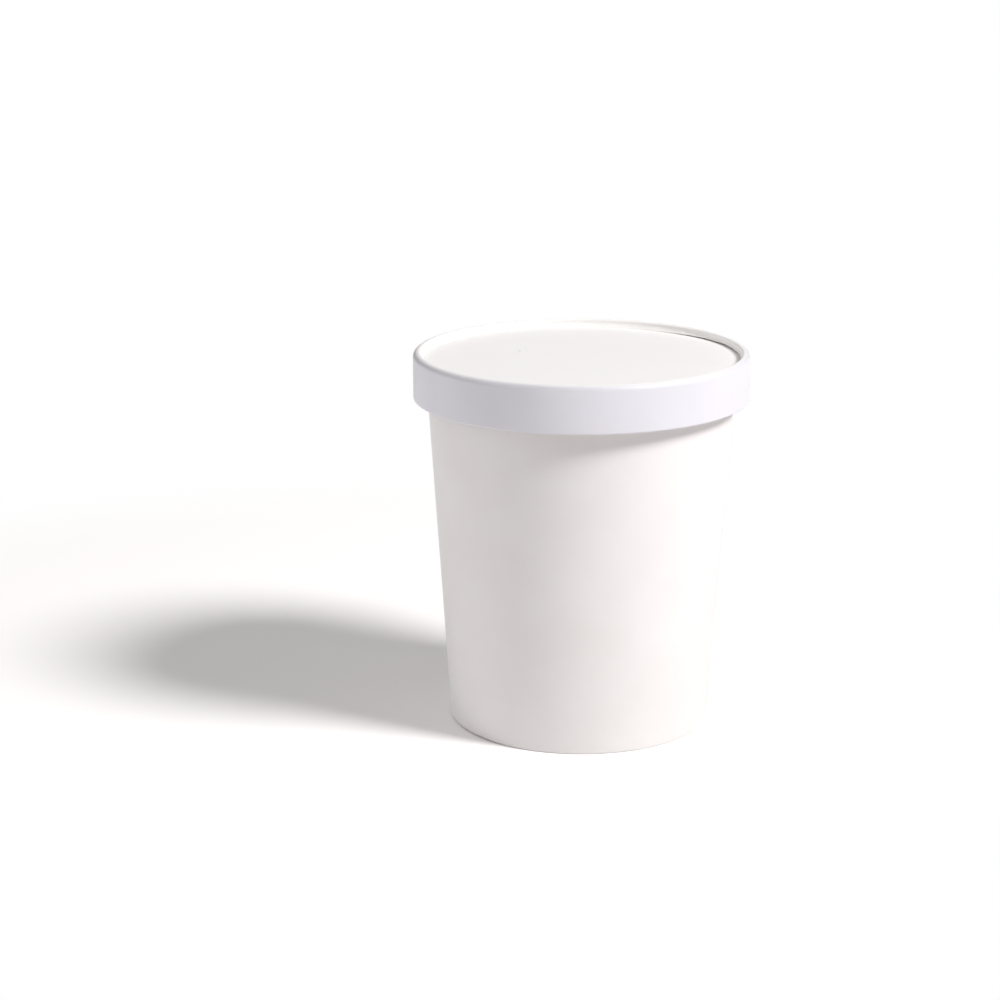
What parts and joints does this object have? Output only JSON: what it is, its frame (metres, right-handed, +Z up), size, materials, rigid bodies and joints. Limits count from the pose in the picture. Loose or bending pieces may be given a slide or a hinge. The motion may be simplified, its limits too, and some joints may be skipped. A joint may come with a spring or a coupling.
{
  "type": "soup container",
  "caption": "Round tapered paper tub for hot soup or takeaway food, shut with a recessed paper lid with a tall banded rim and a steam vent.",
  "frame": {"origin": "centre of the tub's foot ring, on the plane it stands on", "axes": "+Z up along the tub's axis; -Y towards the viewer; the glued overlaps of wall and band are at the back"},
  "size_m": [0.119, 0.119, 0.1343],
  "materials": {
    "tub_board": "smooth white coated paperboard, warm white",
    "base_board": "smooth white coated paperboard, warm white",
    "band_board": "smooth white coated paper strip, slightly cool white",
    "disc_board": "smooth white coated paperboard, warm white"
  },
  "bodies": {
    "root": {"tub": "tub_board", "tub_base": "base_board", "lid_band": "band_board", "lid_disc": "disc_board"}
  },
  "joints": []
}
